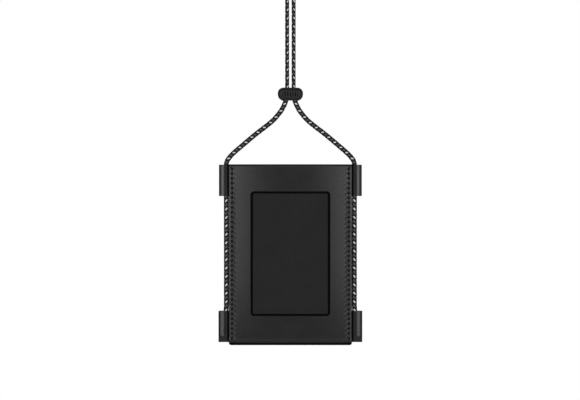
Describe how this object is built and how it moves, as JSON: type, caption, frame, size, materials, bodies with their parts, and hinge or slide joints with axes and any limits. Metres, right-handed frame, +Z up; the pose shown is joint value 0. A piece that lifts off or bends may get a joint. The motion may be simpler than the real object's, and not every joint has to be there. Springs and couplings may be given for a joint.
{
  "type": "neck pouch wallet",
  "caption": "Flat leather pouch with a front window, hung by four side loops from one braided neck cord with a sliding bead.",
  "frame": {"origin": "inside top of the neck cord's bight, where a neck, hook or peg carries it", "axes": "+Z up, against the pull of the hanging pouch; -Y out of the windowed front; +X to the right as seen from the front"},
  "size_m": [0.115, 0.0124, 0.3397],
  "materials": {
    "leather": "smooth semi-gloss black leather with a fine grain",
    "lining": "matte black divider, nearly without grain",
    "thread": "waxed black thread",
    "braid": "black braided cord with two white tracer strands",
    "bead": "matte dark grey moulded rubber"
  },
  "bodies": {
    "cord": {"neck_cord": "braid"},
    "pouch": {"pouch_shell": "leather", "divider": "lining", "upper_left_loop": "leather", "upper_right_loop": "leather", "lower_left_loop": "leather", "lower_right_loop": "leather", "left_stitching": "thread", "right_stitching": "thread", "left_side_cord": "braid", "right_side_cord": "braid", "left_cord_knot": "braid", "right_cord_knot": "braid"},
    "bead": {"cord_bead": "bead"}
  },
  "joints": [
    {"name": "pouch_swing", "type": "hinge", "parent": "cord", "child": "pouch", "pos_m": [0, 0, -0.188], "axis": [1, 0, 0], "range_deg": [-60, 60]},
    {"name": "bead_slide", "type": "slide", "parent": "cord", "child": "bead", "axis": [0, 0, 1], "range_m": [0, 0.09]}
  ]
}
